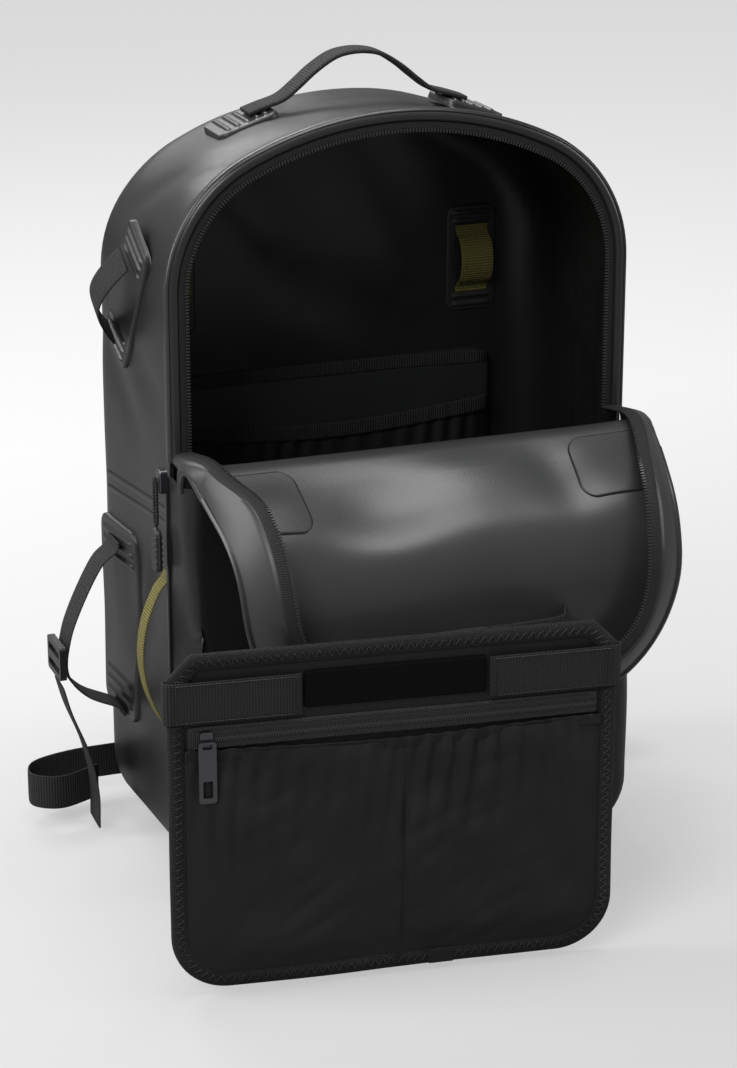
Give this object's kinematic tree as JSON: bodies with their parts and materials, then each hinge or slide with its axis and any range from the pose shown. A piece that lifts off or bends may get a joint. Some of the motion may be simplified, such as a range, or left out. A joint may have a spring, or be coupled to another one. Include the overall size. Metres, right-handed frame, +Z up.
{
  "type": "tackle backpack",
  "caption": "Waterproof welded tackle backpack with an arched zip opening, its front flap folded open over a hanging zipped organizer panel, carry handle, side straps and shoulder straps.",
  "frame": {"origin": "middle of the flat base, under the front panel and boot", "axes": "+X to the bag's right as seen from the front, -Y to the front, +Z up"},
  "size_m": [0.4504, 0.4038, 0.5376],
  "materials": {
    "coated_fabric": "matte coated fabric with a soft sheen",
    "welded_patch": "matte moulded",
    "zip_tape": "woven",
    "zip_teeth": "satin",
    "black_webbing": "ribbed weave",
    "olive_webbing": "ribbed weave",
    "moulded_plastic": "satin",
    "gunmetal": "dark satin metal",
    "cord": "braided",
    "padded_mesh": "spacer mesh over foam",
    "pack_cloth": "thin woven cloth",
    "binding_tape": "grosgrain",
    "loop_tape": "fuzzy loop pile"
  },
  "bodies": {
    "bag": {"back_pad_left": "padded_mesh", "back_pad_right": "padded_mesh", "back_panel": "coated_fabric", "front_panel": "coated_fabric", "gear_loops": "olive_webbing", "handle_patches": "welded_patch", "inner_loops": "olive_webbing", "inner_patches": "welded_patch", "inner_pocket": "pack_cloth", "ladder_lock_left": "moulded_plastic", "ladder_lock_right": "moulded_plastic", "lower_boot": "coated_fabric", "lower_patch_left": "welded_patch", "lower_patch_right": "welded_patch", "main_slider": "gunmetal", "padded_sleeve": "coated_fabric", "rim_band": "welded_patch", "rim_tape": "zip_tape", "rim_teeth": "zip_teeth", "shoulder_strap_left": "padded_mesh", "shoulder_strap_right": "padded_mesh", "shoulder_web_left": "black_webbing", "shoulder_web_right": "black_webbing", "side_buckle_left": "moulded_plastic", "side_buckle_right": "moulded_plastic", "side_strap_left": "black_webbing", "side_strap_right": "black_webbing", "side_tail_left": "black_webbing", "side_tail_right": "black_webbing", "top_handle": "black_webbing", "upper_loop_left": "black_webbing", "upper_loop_right": "black_webbing", "upper_patches": "welded_patch", "upper_wrap": "coated_fabric", "waist_strap_left": "black_webbing", "waist_strap_right": "black_webbing"},
    "flap": {"flap_face": "coated_fabric", "flap_gusset": "coated_fabric", "flap_tape": "zip_tape", "flap_teeth": "zip_teeth", "flap_patches": "welded_patch"},
    "flap_tip": {"tip_face": "coated_fabric", "tip_gusset": "coated_fabric", "tip_tape": "zip_tape", "tip_teeth": "zip_teeth", "cross_strap": "black_webbing"},
    "hanger": {"organizer_hanger": "black_webbing"},
    "organizer": {"organizer_backing": "pack_cloth", "organizer_binding": "binding_tape", "organizer_tab_left": "black_webbing", "organizer_tab_right": "black_webbing", "hook_strip": "loop_tape", "organizer_zip_tape": "zip_tape", "organizer_coil": "zip_teeth", "organizer_pocket": "pack_cloth"},
    "organizer_zip_slider": {"organizer_slider": "gunmetal"},
    "organizer_zip_pull": {"organizer_puller": "gunmetal"},
    "main_zip_pull": {"pull_cord": "cord", "pull_tab": "moulded_plastic"}
  },
  "joints": [
    {"name": "flap_fold", "type": "hinge", "parent": "bag", "child": "flap", "pos_m": [0, -0.097, 0.3], "axis": [-1, 0, 0], "range_deg": [0, 117]},
    {"name": "flap_droop", "type": "hinge", "parent": "flap", "child": "flap_tip", "pos_m": [0, -0.17719, 0.25914], "axis": [-1, 0, 0], "range_deg": [0, 59.01]},
    {"name": "organizer_shift", "type": "slide", "parent": "flap_tip", "child": "hanger", "axis": [1, 0, 0], "range_m": [0, 0.0691]},
    {"name": "organizer_swing", "type": "hinge", "parent": "hanger", "child": "organizer", "pos_m": [-0.069, -0.231, 0.226], "axis": [-0.9981, 0.061, -0.0021], "range_deg": [0, 184], "deforming": ["organizer_backing", "organizer_binding", "organizer_pocket", "organizer_tab_left", "organizer_tab_right", "hook_strip", "organizer_zip_tape", "organizer_coil", "organizer_slider", "organizer_puller"]},
    {"name": "organizer_zip_slide", "type": "slide", "parent": "organizer", "child": "organizer_zip_slider", "axis": [0.9925, -0.1219, 0], "range_m": [0, 0.236]},
    {"name": "organizer_pull_swing", "type": "hinge", "parent": "organizer_zip_slider", "child": "organizer_zip_pull", "pos_m": [-0.18694, -0.22327, 0.172], "axis": [-0.9925, 0.1219, 0], "range_deg": [0, 150]},
    {"name": "main_pull_swing", "type": "hinge", "parent": "bag", "child": "main_zip_pull", "pos_m": [-0.1676, -0.06, 0.286], "axis": [0, 1, 0], "range_deg": [0, 150]}
  ],
  "couplings": [
    {"joint": "flap_droop", "follows": "flap_fold", "ratio": 0.50427},
    {"joint": "organizer_shift", "follows": "flap_fold", "m_per_rad": 0.03379},
    {"joint": "organizer_swing", "follows": "flap_fold", "ratio": 1.5726}
  ]
}
